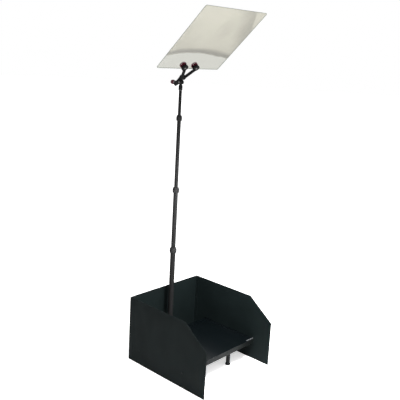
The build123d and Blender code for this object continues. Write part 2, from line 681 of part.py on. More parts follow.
with BuildPart() as tilt_bar:
    bar_mid = (HEAD_BAR_LOW + FORK_HIGH) / 2
    with BuildSketch(slope_plane(0, bar_mid, BAR_UNDER)):
        SlotOverall(HEAD_BAR_LOW - FORK_HIGH, BAR_W, rotation=90)
    extrude(amount=BAR_T)
    with BuildSketch(slope_plane(0, 0, FORK_UNDER)):
        with BuildLine():
            Polyline(
                (-FORK_LOW_W / 2, FORK_LOW), (-FORK_HIGH_W / 2, FORK_HIGH),
                (FORK_HIGH_W / 2, FORK_HIGH), (FORK_LOW_W / 2, FORK_LOW),
                close=True,
            )
        make_face()
    extrude(amount=HEAD_BAR_TOP - FORK_UNDER)
    fork_edges = tilt_bar.edges().filter_by(Axis(origin=(0, 0, 0), direction=OUT))
    fillet(fork_edges.group_by(Axis((0, 0, 0), DOWN))[0], 4)
    for x_start in (-BAR_W / 2, TONGUE / 2 + 0.3):
        with BuildSketch(cross_plane(x_start)):
            Circle(CHEEK_R)
            with Locations((0, (BAR_UNDER + 2 - PIVOT_OUT) / 2)):
                Rectangle(2 * CHEEK_R, BAR_UNDER + 2 - PIVOT_OUT)
        extrude(amount=BAR_W / 2 - TONGUE / 2 - 0.3)
    with BuildSketch(lock_plane(BOSS_START)):
        Circle(BOSS_LOCK_R)
    extrude(amount=BOSS_END - BOSS_START)
    with BuildSketch(lock_plane(8)):
        Circle(STUD_R + RUN_FIT)
    extrude(amount=BOSS_END, mode=Mode.SUBTRACT)
    with BuildSketch(cross_plane(-BAR_W)):
        Circle(STUD_R + 0.03)
    extrude(amount=2 * BAR_W, mode=Mode.SUBTRACT)
    for sign in (-1, 1):
        start = arm_start(sign)
        with BuildSketch(Plane(origin=start, z_dir=arm_end(sign) - start)):
            Circle(ARM_ROOT_R + 0.02)
        extrude(amount=30, mode=Mode.SUBTRACT)
tilt_bar.part.label = "tilt_bar"
export_step(tilt_bar.part, "parts/tilt_bar.step")

WASHER_T = 1.6
with BuildPart() as tilt_washer:
    with BuildSketch(lock_plane(BOSS_END + 0.1)):
        Circle(7.0)
        Circle(STUD_R + 0.15, mode=Mode.SUBTRACT)
    extrude(amount=WASHER_T)
tilt_washer.part.label = "tilt_washer"
export_step(tilt_washer.part, "parts/tilt_washer.step")

TILT_KNOB_START = 46.5
TILT_KNOB_T = 18.0
with BuildPart() as tilt_stud:
    with BuildSketch(lock_plane(EYE_R + 0.12)):
        Circle(STUD_R)
    extrude(amount=TILT_KNOB_START + 6 - EYE_R)
    with BuildSketch(lock_plane(BOSS_END + WASHER_T + 0.2)):
        Circle(6.0)
    extrude(amount=TILT_KNOB_START - BOSS_END - WASHER_T - 0.2)
tilt_stud.part.label = "tilt_stud"
export_step(tilt_stud.part, "parts/tilt_stud.step")

with BuildPart() as tilt_knob:
    with BuildSketch(lock_plane(TILT_KNOB_START)):
        Circle(TILT_KNOB_R)
        with PolarLocations(TILT_KNOB_R + 1.6, 8):
            Circle(2.6, mode=Mode.SUBTRACT)
    extrude(amount=TILT_KNOB_T)
    fillet(tilt_knob.faces().sort_by(Axis((0, 0, 0), LOCK_DIR))[-1].edges(), 1.0)
    with BuildSketch(lock_plane(TILT_KNOB_START)):
        Circle(STUD_R + 0.03)
    extrude(amount=6.5, mode=Mode.SUBTRACT)
tilt_knob.part.label = "tilt_knob"
export_step(tilt_knob.part, "parts/tilt_knob.step")

# Clamp arms, each forged with the disc that carries the glass.
DISC_TOP = -GLASS_T / 2 - PAD_T
DISC_UNDER = DISC_TOP - DISC_T
NUT_ACROSS = 10.0
NUT_DEPTH = 5.0
for side, sign in (("left", -1), ("right", 1)):
    start = arm_start(sign)
    reach = arm_end(sign) - start
    with BuildPart() as clamp_arm:
        with BuildSketch(Plane(origin=start, z_dir=reach)):
            Circle(ARM_ROOT_R)
        extrude(amount=ARM_SEAT)
        with BuildSketch(Plane(origin=start + reach.normalized() * ARM_SEAT, z_dir=reach)):
            Circle(ARM_R)
        with BuildSketch(Plane(origin=start + reach * 0.88, z_dir=reach)):
            Circle(ARM_END_R)
        loft()
        with BuildSketch(slope_plane(sign * CLAMP_X, -CLAMP_UP, DISC_UNDER)):
            Circle(CLAMP_R)
        extrude(amount=DISC_T)
        disc_top_side = slope_plane(sign * CLAMP_X, -CLAMP_UP, DISC_TOP)
        with BuildSketch(disc_top_side):
            Circle(CLAMP_R + 6)
        extrude(amount=6, mode=Mode.SUBTRACT)
        with BuildSketch(slope_plane(sign * CLAMP_X, -CLAMP_UP, DISC_UNDER - 1.5)):
            Circle(STUD_R + RUN_FIT)
        extrude(amount=DISC_T + 3, mode=Mode.SUBTRACT)
        with BuildSketch(slope_plane(sign * CLAMP_X, -CLAMP_UP, DISC_UNDER - 1.5)):
            RegularPolygon(NUT_ACROSS / 2 + 0.05, 6, major_radius=False)
        extrude(amount=NUT_DEPTH + 1.5, mode=Mode.SUBTRACT)
    clamp_arm.part.label = f"clamp_arm_{side}"
    export_step(clamp_arm.part, f"parts/clamp_arm_{side}.step")

    with BuildPart() as rear_pad:
        with BuildSketch(slope_plane(sign * CLAMP_X, -CLAMP_UP, GLASS_T / 2 + 0.02)):
            Circle(PAD_R)
            Circle(STUD_R + 0.4, mode=Mode.SUBTRACT)
        extrude(amount=PAD_T)
    rear_pad.part.label = f"rear_pad_{side}"
    export_step(rear_pad.part, f"parts/rear_pad_{side}.step")

    KNOB_START = GLASS_T / 2 + PAD_T + 0.15
    with BuildPart() as glass_stud:
        with BuildSketch(slope_plane(sign * CLAMP_X, -CLAMP_UP, DISC_UNDER + 0.4)):
            Circle(STUD_R)
        extrude(amount=KNOB_START - DISC_UNDER + 5)
    glass_stud.part.label = f"glass_stud_{side}"
    export_step(glass_stud.part, f"parts/glass_stud_{side}.step")

    with BuildPart() as glass_knob:
        with BuildSketch(slope_plane(sign * CLAMP_X, -CLAMP_UP, KNOB_START)):
            Circle(CLAMP_R)
            with PolarLocations(CLAMP_R + 2.2, 10):
                Circle(3.4, mode=Mode.SUBTRACT)
        extrude(amount=KNOB_T)
        fillet(glass_knob.faces().sort_by(Axis((0, 0, 0), OUT))[-1].edges(), 1.2)
        with BuildSketch(slope_plane(sign * CLAMP_X, -CLAMP_UP, KNOB_START)):
            Circle(STUD_R + 0.03)
        extrude(amount=5.8, mode=Mode.SUBTRACT)
    glass_knob.part.label = f"glass_knob_{side}"
    export_step(glass_knob.part, f"parts/glass_knob_{side}.step")

with BuildPart() as disc_nuts:
    with BuildSketch(slope_plane(0, -CLAMP_UP, DISC_UNDER)):
        with Locations((-CLAMP_X, 0), (CLAMP_X, 0)):
            RegularPolygon(NUT_ACROSS / 2, 6, major_radius=False)
            Circle(STUD_R + RUN_FIT, mode=Mode.SUBTRACT)
    extrude(amount=NUT_DEPTH - 0.05)
disc_nuts.part.label = "disc_nuts"
export_step(disc_nuts.part, "parts/disc_nuts.step")

with BuildPart() as front_pads:
    with BuildSketch(slope_plane(0, -CLAMP_UP, DISC_TOP + 0.02)):
        with Locations((-CLAMP_X, 0), (CLAMP_X, 0)):
            Circle(PAD_R)
            Circle(STUD_R + 1.2, mode=Mode.SUBTRACT)
    extrude(amount=PAD_T - 0.04)
front_pads.part.label = "front_pads"
export_step(front_pads.part, "parts/front_pads.step")

GLASS_HOLE_R = 4.5
with BuildPart() as glass_pane:
    with BuildSketch(slope_plane(0, -GLASS_LEN / 2, -GLASS_T / 2)):
        RectangleRounded(GLASS_W, GLASS_LEN, GLASS_CORNER)
    extrude(amount=GLASS_T)
    with BuildSketch(slope_plane(0, -CLAMP_UP, -GLASS_T / 2)):
        with Locations((-CLAMP_X, 0), (CLAMP_X, 0)):
            Circle(GLASS_HOLE_R)
    extrude(amount=GLASS_T, mode=Mode.SUBTRACT)
glass_pane.part.label = "glass_pane"
export_step(glass_pane.part, "parts/glass_pane.step")
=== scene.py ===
import json
from math import cos, pi, radians, sin

import bmesh
import bpy
from mathutils import Matrix, Vector

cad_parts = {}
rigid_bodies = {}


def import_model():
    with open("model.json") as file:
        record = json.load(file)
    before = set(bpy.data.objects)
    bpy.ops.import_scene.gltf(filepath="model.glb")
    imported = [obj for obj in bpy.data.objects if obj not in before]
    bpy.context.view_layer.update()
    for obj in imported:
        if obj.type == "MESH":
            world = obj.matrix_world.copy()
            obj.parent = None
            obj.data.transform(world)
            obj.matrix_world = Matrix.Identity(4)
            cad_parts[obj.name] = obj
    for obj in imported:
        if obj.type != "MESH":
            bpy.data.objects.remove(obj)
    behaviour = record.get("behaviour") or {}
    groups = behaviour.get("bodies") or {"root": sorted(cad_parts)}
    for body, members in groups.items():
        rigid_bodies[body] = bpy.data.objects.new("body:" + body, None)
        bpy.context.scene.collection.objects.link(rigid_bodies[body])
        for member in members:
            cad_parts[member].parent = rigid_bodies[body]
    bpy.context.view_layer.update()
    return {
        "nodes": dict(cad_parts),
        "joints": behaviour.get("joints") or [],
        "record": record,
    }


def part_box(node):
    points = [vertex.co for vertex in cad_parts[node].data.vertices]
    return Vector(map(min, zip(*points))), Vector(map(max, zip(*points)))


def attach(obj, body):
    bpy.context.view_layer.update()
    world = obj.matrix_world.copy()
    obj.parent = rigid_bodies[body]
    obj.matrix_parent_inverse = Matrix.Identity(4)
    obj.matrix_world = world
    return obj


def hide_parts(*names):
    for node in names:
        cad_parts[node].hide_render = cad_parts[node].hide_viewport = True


# A floor-standing teleprompter: hood, monitor, telescopic pole, tilting head
# and beam-splitter glass. Metres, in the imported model's own frame.
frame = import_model()
nodes = frame["nodes"]
record = frame["record"]
joints = {joint["name"]: joint for joint in frame["joints"]}
body_of_node = {n: b for b, ns in record["behaviour"]["bodies"].items() for n in ns}
slot_of_node = {s["node"]: s["material_slot"] for s in record["subparts"]}
bpy.context.scene.view_settings.view_transform = "Standard"

MM = 0.001
SMOOTH_ANGLE = 35                 # degrees: sharper edges than this stay sharp on a new piece
SHARP_ANGLE = 30                  # degrees: sharper edges than this are rounded off, or stay sharp in CAD
WELD = 0.000002                   # points closer than this are one point


# ----------------------------------------------------------- places and sizes
def box_middle(node):
    low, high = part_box(node)
    return (low + high) / 2


def joint_axis(name):
    return Vector(joints[name]["axis"]).normalized()


OUT = joint_axis("left_clamp_travel")
DOWN = Vector((0, OUT.z, -OUT.y))
LOCK_DIR = joint_axis("tilt_lock_travel")
PIVOT = Vector(joints["head_tilt"]["pos_m"])
POLE = box_middle("pole_tube")
ACROSS = Vector((1, 0, 0))


def frame_at(origin, z_axis):
    """A matrix that puts local Z along z_axis at origin, and keeps local X close to ACROSS."""
    z = z_axis.normalized()
    y = z.cross(ACROSS).normalized()
    x = y.cross(z)
    matrix = Matrix((x, y, z)).transposed().to_4x4()
    matrix.translation = origin
    return matrix


def reach(node, axis):
    """The lowest and highest place of a node's mesh along an axis."""
    places = [v.co.dot(axis) for v in nodes[node].data.vertices]
    return min(places), max(places)


# ------------------------------------------------------------------ materials
NOISE_SPAN = (0.3, 0.7)           # where most of a noise's values lie


def shade(color, factor):
    """A colour made darker or lighter."""
    return [c * factor for c in color]


class Shader:
    """A Principled material with a few ready-made procedural parts."""

    def __init__(self, name, color, roughness, **sockets):
        self.material = bpy.data.materials.new(name)
        self.material.use_nodes = True
        self.tree = self.material.node_tree
        self.surface = self.tree.nodes["Principled BSDF"]
        self.output = self.tree.nodes["Material Output"]
        self.surface.inputs["Base Color"].default_value = (*color, 1)
        self.surface.inputs["Roughness"].default_value = roughness
        for socket, value in sockets.items():
            self.surface.inputs[socket.replace("_", " ")].default_value = value
        self.place = self.tree.nodes.new("ShaderNodeTexCoord").outputs["Object"]

    def link(self, out, into):
        self.tree.links.new(out, into)

    def stretched(self, scale):
        mapping = self.tree.nodes.new("ShaderNodeMapping")
        mapping.inputs["Scale"].default_value = scale
        self.link(self.place, mapping.inputs["Vector"])
        return mapping.outputs["Vector"]

    def noise(self, size, detail, rough=0.5, stretch=None):
        """Noise whose features are about `size` metres across."""
        node = self.tree.nodes.new("ShaderNodeTexNoise")
        node.inputs["Scale"].default_value = 1 / size
        node.inputs["Detail"].default_value = detail
        node.inputs["Roughness"].default_value = rough
        self.link(self.stretched(stretch) if stretch else self.place, node.inputs["Vector"])
        return node.outputs["Fac"]

    def cells(self, size, feature="F1"):
        """Rounded cells about `size` metres across."""
        node = self.tree.nodes.new("ShaderNodeTexVoronoi")
        node.inputs["Scale"].default_value = 1 / size
        node.feature = feature
        self.link(self.place, node.inputs["Vector"])
        return node.outputs["Distance"]

    def remap(self, value, low, high, to_low=0.0, to_high=1.0):
        node = self.tree.nodes.new("ShaderNodeMapRange")
        node.inputs["From Min"].default_value = low
        node.inputs["From Max"].default_value = high
        node.inputs["To Min"].default_value = to_low
        node.inputs["To Max"].default_value = to_high
        self.link(value, node.inputs["Value"])
        return node.outputs["Result"]

    def mix_color(self, fac, dark, light):
        ramp = self.tree.nodes.new("ShaderNodeValToRGB")
        ramp.color_ramp.elements[0].color = (*dark, 1)
        ramp.color_ramp.elements[1].color = (*light, 1)
        self.link(fac, ramp.inputs["Fac"])
        return ramp.outputs["Color"]

    def bump(self, height, depth, strength, under=None):
        """Relief `depth` metres deep, laid over the relief `under` if one is given."""
        node = self.tree.nodes.new("ShaderNodeBump")
        node.inputs["Distance"].default_value = depth
        node.inputs["Strength"].default_value = strength
        self.link(height, node.inputs["Height"])
        if under:
            self.link(under, node.inputs["Normal"])
        return node.outputs["Normal"]

    def color(self, out):
        self.link(out, self.surface.inputs["Base Color"])

    def roughness(self, out):
        self.link(out, self.surface.inputs["Roughness"])

    def normal(self, out):
        self.link(out, self.surface.inputs["Normal"])


def powder_coat(name, color, roughness, grain=0.0011, depth=0.00005, specular=0.3):
    """Fine-textured powder coat: an even, slightly pebbled matte skin with handling marks."""
    shader = Shader(name, color, roughness, Specular_IOR_Level=specular)
    tone = shader.remap(shader.noise(0.11, 4), *NOISE_SPAN)
    shader.color(shader.mix_color(tone, shade(color, 0.86), shade(color, 1.16)))
    marks = shader.noise(0.05, 5, 0.55, (1, 1, 0.5))
    shader.roughness(shader.remap(marks, 0.3, 0.75, roughness - 0.05, roughness + 0.05))
    pebbles = shader.bump(shader.noise(grain, 2), depth, 0.55)
    shader.normal(shader.bump(shader.noise(0.16, 1), 0.0006, 0.25, pebbles))
    return shader.material


MOULD_GRAIN = 0.0007
MOULD_DEPTH = 0.00003


def moulded(name, color, roughness, **sockets):
    """Moulded plastic or nylon with a fine spark-eroded grain."""
    shader = Shader(name, color, roughness, **sockets)
    tone = shader.remap(shader.noise(0.02, 3), *NOISE_SPAN)
    shader.color(shader.mix_color(tone, shade(color, 0.88), shade(color, 1.12)))
    shader.roughness(shader.remap(shader.noise(0.008, 4), *NOISE_SPAN, roughness - 0.05, roughness + 0.06))
    shader.normal(shader.bump(shader.cells(MOULD_GRAIN), MOULD_DEPTH, 0.5))
    return shader.material


def rubber(name, color, roughness):
    """Dull rubber with a little pale dust on it."""
    shader = Shader(name, color, roughness, Specular_IOR_Level=0.15)
    dust = shader.remap(shader.noise(0.006, 5, 0.6), 0.45, 0.75)
    shader.color(shader.mix_color(dust, color, [c * 1.6 + 0.001 for c in color]))
    shader.roughness(shader.remap(shader.noise(0.003, 3), *NOISE_SPAN, roughness - 0.06, roughness + 0.05))
    shader.normal(shader.bump(shader.noise(0.0006, 2), 0.00004, 0.6))
    return shader.material


def anodised(name, color, roughness):
    """Black anodised tube: drawn along Z, so its fine scratches run lengthwise."""
    shader = Shader(name, color, roughness, Specular_IOR_Level=0.025)
    lines = shader.noise(0.0009, 3, 0.6, (1, 1, 0.01))
    tone = shader.remap(shader.noise(0.05, 3), *NOISE_SPAN)
    shader.color(shader.mix_color(tone, shade(color, 0.85), shade(color, 1.2)))
    shader.roughness(shader.remap(lines, *NOISE_SPAN, roughness - 0.05, roughness + 0.07))
    shader.normal(shader.bump(lines, 0.00002, 0.5))
    return shader.material


def plated_steel(name, color, roughness):
    """Zinc-plated steel, slightly stained."""
    shader = Shader(name, color, roughness, Metallic=1.0)
    stains = shader.remap(shader.noise(0.004, 4), 0.35, 0.7)
    shader.color(shader.mix_color(stains, shade(color, 0.82), color))
    shader.roughness(shader.remap(shader.noise(0.0015, 3), *NOISE_SPAN, roughness - 0.06, roughness + 0.08))
    shader.normal(shader.bump(shader.noise(0.0004, 2), 0.00001, 0.5))
    return shader.material


def screen_glass(name):
    """Anti-glare screen: near-black, with faint wipe marks."""
    shader = Shader(name, (0.004, 0.005, 0.006), 0.3, Specular_IOR_Level=0.14)
    wipes = shader.noise(0.07, 3, 0.5, (1, 0.35, 1))
    shader.roughness(shader.remap(wipes, 0.3, 0.72, 0.22, 0.28))
    clean = (0.0013, 0.0021, 0.0025)
    wiped = (0.0017, 0.0025, 0.0029)
    shader.color(shader.mix_color(shader.remap(wipes, 0.4, 0.8), clean, wiped))
    return shader.material


def circuit_board(name):
    """Green solder mask with darker tracks showing through."""
    shader = Shader(name, (0.02, 0.12, 0.05), 0.4)
    tracks = shader.remap(shader.cells(0.004, "DISTANCE_TO_EDGE"), 0.02, 0.06)
    shader.color(shader.mix_color(tracks, (0.03, 0.2, 0.08), (0.015, 0.1, 0.04)))
    return shader.material


MIRROR_TONE = (0.86, 0.86, 0.84)


def glass_blend(name, clear, mirror_share, mirror_rough):
    """A see-through sheet: tinted clear glass mixed with a mirror coat.

    Returns its material, its tree and its three shaders."""
    material = bpy.data.materials.new(name)
    material.use_nodes = True
    tree = material.node_tree
    tree.nodes.remove(tree.nodes["Principled BSDF"])
    through = tree.nodes.new("ShaderNodeBsdfTransparent")
    mirror = tree.nodes.new("ShaderNodeBsdfGlossy")
    blend = tree.nodes.new("ShaderNodeMixShader")
    through.inputs["Color"].default_value = (*clear, 1)
    mirror.inputs["Color"].default_value = (*MIRROR_TONE, 1)
    mirror.inputs["Roughness"].default_value = mirror_rough
    blend.inputs["Fac"].default_value = mirror_share
    tree.links.new(through.outputs[0], blend.inputs[1])
    tree.links.new(mirror.outputs[0], blend.inputs[2])
    tree.links.new(blend.outputs[0], tree.nodes["Material Output"].inputs["Surface"])
    return material, tree, through, mirror, blend


class PaneMaths:
    """Short names for the maths on the pane's own coordinates: across 0..1 and up 0..1."""

    def __init__(self, tree):
        self.tree = tree
        place = tree.nodes.new("ShaderNodeTexCoord").outputs["Object"]
        low_x, high_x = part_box("glass_pane")[0].x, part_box("glass_pane")[1].x
        foot, top = reach("glass_pane", -DOWN)
        self.place = place
        self.across = self.scaled(self.along(place, ACROSS), low_x, high_x)
        self.up = self.scaled(self.along(place, -DOWN), foot, top)

    def along(self, place, axis):
        node = self.tree.nodes.new("ShaderNodeVectorMath")
        node.operation = "DOT_PRODUCT"
        node.inputs[1].default_value = axis
        self.tree.links.new(place, node.inputs[0])
        return node.outputs["Value"]

    def scaled(self, value, low, high, to_low=0.0, to_high=1.0, smooth=False):
        node = self.tree.nodes.new("ShaderNodeMapRange")
        node.interpolation_type = "SMOOTHSTEP" if smooth else "LINEAR"
        node.clamp = smooth
        sockets = ("From Min", "From Max", "To Min", "To Max")
        for socket, number in zip(sockets, (low, high, to_low, to_high)):
            node.inputs[socket].default_value = number
        self.tree.links.new(value, node.inputs["Value"])
        return node.outputs["Result"]

    def of(self, operation, a, b=None):
        node = self.tree.nodes.new("ShaderNodeMath")
        node.operation = operation
        for socket, value in zip(node.inputs, (a, b)):
            if isinstance(value, (int, float)):
                socket.default_value = value
            elif value is not None:
                self.tree.links.new(value, socket)
        return node.outputs[0]

    def noise(self, size, detail):
        node = self.tree.nodes.new("ShaderNodeTexNoise")
        node.inputs["Scale"].default_value = 1 / size
        node.inputs["Detail"].default_value = detail
        self.tree.links.new(self.place, node.inputs["Vector"])
        return node.outputs["Fac"]


# The film on the pane, whose tint carries painted reflections. Its places are shares of the pane's width
# and height.
FILM_CLEAR = (0.728, 0.714, 0.643)
# The film's tint at full darkness, reached under its random haze and its painted reflections.
HAZE_AND_PAINTED_REFLECTION_TINT = (0.36, 0.35, 0.30)
# The tint of the painted light reflection strip below the wavy line.
PAINTED_LIGHT_STRIP_TINT = (0.775, 0.775, 0.742)
FILM_MIRROR = 0.16
# The mirror share in the light strip below the wavy line.
LIGHT_STRIP_MIRROR = 0.05
MIRROR_ROUGHNESS = 0.02
LINE_HEIGHT = (0.205, 0.276)      # the wavy line, at the pane's sides and at its crest
LINE_LEAN = 0.78                  # below 1, the crest lies left of the middle
LINE_WOBBLE = 0.03
LINE_BLUR = 0.006
BAND_HEIGHT = 0.11                # the painted dark reflection band above the wavy line
PAINTED_BAND_DARKNESS = 0.9
SIDE_PLACE = (1.41, 0.82)         # the painted dark side's outer edge, at the foot and at the top
SIDE_BLUR = 0.012
SIDE_WIDTH = 0.34
PAINTED_SIDE_DARKNESS = 0.36
HAZE_DENSITY = 0.14
PAINTED_FALL_DARKNESS = 0.21               # painted reflection: extra darkening low on the pane
FALL_HEIGHT = (0.35, 0.95)        # where that painted darkening starts to fade, and where it is gone
RIPPLE_DEPTH = 0.0004


def beam_splitter(name):
    """Clear glass under a thin partly mirrored film, with random haze in its tint. Painted reflections
    darken the tint along its right side, above a wavy line near its foot, and low on the pane; below that
    line lies a painted light strip, where the mirror share is also lower."""
    material, tree, through, mirror, blend = glass_blend(name, FILM_CLEAR, FILM_MIRROR, MIRROR_ROUGHNESS)
    pane = PaneMaths(tree)
    # The band, the side and the low darkening below are painted reflections in the film's tint; only the
    # haze is random.
    wobble = pane.scaled(pane.noise(0.09, 3), 0.0, 1.0, -LINE_WOBBLE, LINE_WOBBLE)
    arch = pane.of("SINE", pane.of("MULTIPLY", pane.of("POWER", pane.across, LINE_LEAN), pi))
    wavy_line = pane.of("ADD", pane.scaled(arch, 0.0, 1.0, *LINE_HEIGHT), wobble)
    above = pane.of("SUBTRACT", pane.up, wavy_line)
    past_painted_line = pane.scaled(above, -LINE_BLUR, LINE_BLUR, smooth=True)
    painted_band = pane.of("MULTIPLY", past_painted_line, pane.scaled(above, 0.0, BAND_HEIGHT, 1.0, 0.0, smooth=True))
    side_line = pane.of("SUBTRACT", pane.scaled(pane.up, 0.0, 1.0, *SIDE_PLACE), pane.across)
    inside = pane.scaled(side_line, -SIDE_BLUR, SIDE_BLUR, smooth=True)
    side = pane.of("MULTIPLY", inside, pane.scaled(side_line, 0.0, SIDE_WIDTH, 1.0, 0.0, smooth=True))
    side = pane.of("MULTIPLY", side, past_painted_line)
    haze = pane.scaled(pane.noise(0.14, 4), 0.35, 0.7, 0.0, HAZE_DENSITY, smooth=True)
    painted_fall = pane.scaled(pane.up, *FALL_HEIGHT, PAINTED_FALL_DARKNESS, 0.0, smooth=True)
    edges = pane.of("ADD", pane.of("MULTIPLY", painted_band, PAINTED_BAND_DARKNESS), pane.of("MULTIPLY", side, PAINTED_SIDE_DARKNESS))
    haze_and_painted_reflection = pane.of("ADD", edges, pane.of("ADD", haze, painted_fall))
    tone = tree.nodes.new("ShaderNodeValToRGB")
    tone.color_ramp.elements[0].color = (*FILM_CLEAR, 1)
    tone.color_ramp.elements[1].color = (*HAZE_AND_PAINTED_REFLECTION_TINT, 1)
    # Below the wavy line the tint is a painted light reflection strip.
    painted_strip_mix = tree.nodes.new("ShaderNodeMix")
    painted_strip_mix.data_type = "RGBA"
    painted_strip_mix.inputs["A"].default_value = (*PAINTED_LIGHT_STRIP_TINT, 1)
    tree.links.new(haze_and_painted_reflection, tone.inputs["Fac"])
    tree.links.new(past_painted_line, painted_strip_mix.inputs["Factor"])
    tree.links.new(tone.outputs["Color"], painted_strip_mix.inputs["B"])
    tree.links.new(painted_strip_mix.outputs["Result"], through.inputs["Color"])
    tree.links.new(pane.scaled(past_painted_line, 0.0, 1.0, LIGHT_STRIP_MIRROR, FILM_MIRROR), blend.inputs["Fac"])
    bump = tree.nodes.new("ShaderNodeBump")
    bump.inputs["Distance"].default_value = RIPPLE_DEPTH
    bump.inputs["Strength"].default_value = 0.5
    tree.links.new(pane.noise(0.11, 2), bump.inputs["Height"])
    tree.links.new(bump.outputs["Normal"], mirror.inputs["Normal"])
    return material


MATERIALS = {
    "hood_powder": powder_coat("hood_powder", (0.0029, 0.0048, 0.0049), 0.68, specular=0.045),
    "rivet_black": powder_coat(
        "rivet_black", (0.0027, 0.0045, 0.0047), 0.6, grain=0.0006, depth=0.00002, specular=0.08
    ),
    "frame_powder": powder_coat("frame_powder", (0.0038, 0.0041, 0.0043), 0.5, specular=0.12),
    "rubber_black": rubber("rubber_black", (0.0045, 0.0048, 0.0048), 0.75),
    "pad_rubber": rubber("pad_rubber", (0.008, 0.008, 0.008), 0.8),
    "monitor_plastic": moulded("monitor_plastic", (0.0026, 0.0036, 0.0034), 0.5, Specular_IOR_Level=0.08),
    "screen": screen_glass("screen"),
    "bezel_gloss": screen_glass("bezel_gloss"),
    "backlight": moulded("backlight", (0.8, 0.8, 0.78), 0.5),
    "board": circuit_board("board"),
    "inlet_plastic": moulded("inlet_plastic", (0.018, 0.018, 0.018), 0.4),
    "port_metal": plated_steel("port_metal", (0.6, 0.6, 0.6), 0.3),
    "silver_trim": moulded("silver_trim", (0.045, 0.048, 0.051), 0.36, Metallic=0.5),
    "button_plastic": moulded("button_plastic", (0.13, 0.135, 0.14), 0.4),
    "tube_black": anodised("tube_black", (0.0078, 0.0078, 0.0080), 0.5),
    "lock_nylon": moulded("lock_nylon", (0.0120, 0.0120, 0.0123), 0.55, Specular_IOR_Level=0.02),
    "collet_nylon": moulded("collet_nylon", (0.4, 0.4, 0.39), 0.45),
    "ring_nylon": moulded("ring_nylon", (0.13, 0.13, 0.13), 0.45),
    "head_metal": powder_coat(
        "head_metal", (0.0105, 0.0108, 0.0112), 0.6, grain=0.0005, depth=0.00002, specular=0.015
    ),
    "steel": plated_steel("steel", (0.12, 0.12, 0.118), 0.36),
    "bright_steel": plated_steel("bright_steel", (0.55, 0.55, 0.54), 0.4),
    # One maroon plastic in two copies: the clamp knobs' copy is painted lighter against the shade they sit
    # in, and the tilt knob's copy on the next line is painted darker against the strong light it gets.
    "knob_maroon": moulded("knob_maroon", (0.115, 0.020, 0.036), 0.6, Specular_IOR_Level=0.02),
    "knob_maroon_dark": moulded("knob_maroon_dark", (0.052, 0.010, 0.017), 0.45, Specular_IOR_Level=0.1),
    "beam_glass": beam_splitter("beam_glass"),
}


# ---------------------------------------------------------------- mesh making
def mesh_from(work, name):
    """Turns a bmesh into a new mesh, and frees it."""
    mesh = bpy.data.meshes.new(name)
    work.to_mesh(mesh)
    work.free()
    return mesh


def finish_piece(name, mesh, node):
    """Puts a mesh in the scene as a piece that stands for a CAD node."""
    piece = bpy.data.objects.new(name, mesh)
    bpy.context.scene.collection.objects.link(piece)
    mesh.materials.clear()
    mesh.materials.append(MATERIALS[slot_of_node[node]])
    mesh.shade_smooth()
    mesh.set_sharp_from_angle(angle=radians(SMOOTH_ANGLE))
    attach(piece, body_of_node[node])
    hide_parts(node)
    return piece


def apply_modifiers(piece):
    """Replaces a piece's mesh with what its modifiers make of it."""
    bpy.context.view_layer.update()
    graph = bpy.context.evaluated_depsgraph_get()
    mesh = bpy.data.meshes.new_from_object(piece.evaluated_get(graph))
    old = piece.data
    piece.modifiers.clear()
    piece.data = mesh
    bpy.data.meshes.remove(old)


def bevelled(piece, width, segments=3):
    """Rounds the sharp edges of a piece, and keeps its flats flat."""
    bevel = piece.modifiers.new("bevel", "BEVEL")
    bevel.width = width
    bevel.segments = segments
    bevel.limit_method = "ANGLE"
    bevel.angle_limit = radians(SHARP_ANGLE)
    bevel.harden_normals = False
    even = piece.modifiers.new("even", "WEIGHTED_NORMAL")
    even.keep_sharp = True
    apply_modifiers(piece)
    piece.data.shade_smooth()
    return piece


def refined(node, width, segments=3):
    """A CAD node's own shape, cleaned to whole faces, with its edges rounded."""
    mesh = nodes[node].data.copy()
    work = bmesh.new()
    work.from_mesh(mesh)
    bmesh.ops.remove_doubles(work, verts=work.verts, dist=WELD)
    bmesh.ops.dissolve_limit(
        work, angle_limit=radians(1), verts=work.verts, edges=work.edges, use_dissolve_boundaries=False
    )
    work.to_mesh(mesh)
    work.free()
    piece = finish_piece(node + "_shaped", mesh, node)
    return bevelled(piece, width, segments)


def lathe(name, node, profile, axis_frame, segments=96, radius_at=None, closed=True):
    """Turns a profile of (radius, height) about axis_frame's Z. radius_at bends each radius by angle."""
    work = bmesh.new()
    rings = []
    for radius, height in profile:
        if radius < 1e-7:
            rings.append([work.verts.new(axis_frame @ Vector((0, 0, height)))])
            continue
        ring = []
        for step in range(segments):
            turn = 2 * pi * step / segments
            r = radius_at(radius, height, turn) if radius_at else radius
            ring.append(work.verts.new(axis_frame @ Vector((r * cos(turn), r * sin(turn), height))))
        rings.append(ring)
    pairs = list(zip(rings, rings[1:]))
    if closed:
        pairs.append((rings[-1], rings[0]))
    for a, b in pairs:
        for step in range(segments):
            after = (step + 1) % segments
            corners = [a[step % len(a)], a[after % len(a)], b[after % len(b)], b[step % len(b)]]
            corners = list(dict.fromkeys(corners))
            if len(corners) > 2:
                work.faces.new(corners)
    bmesh.ops.recalc_face_normals(work, faces=work.faces)
    return finish_piece(name, mesh_from(work, name), node)


def rounded_corner(inner, corner, outer, radius, steps=5):
    """Points of an arc that rounds `corner`, on the way from `inner` to `outer`."""
    before = (Vector(inner) - Vector(corner)).normalized()
    after = (Vector(outer) - Vector(corner)).normalized()
    a = Vector(corner) + before * radius
    b = Vector(corner) + after * radius
    points = []
    for step in range(steps + 1):
        t = step / steps
        points.append(tuple(a * (1 - t) ** 2 + Vector(corner) * 2 * t * (1 - t) + b * t ** 2))
    return points


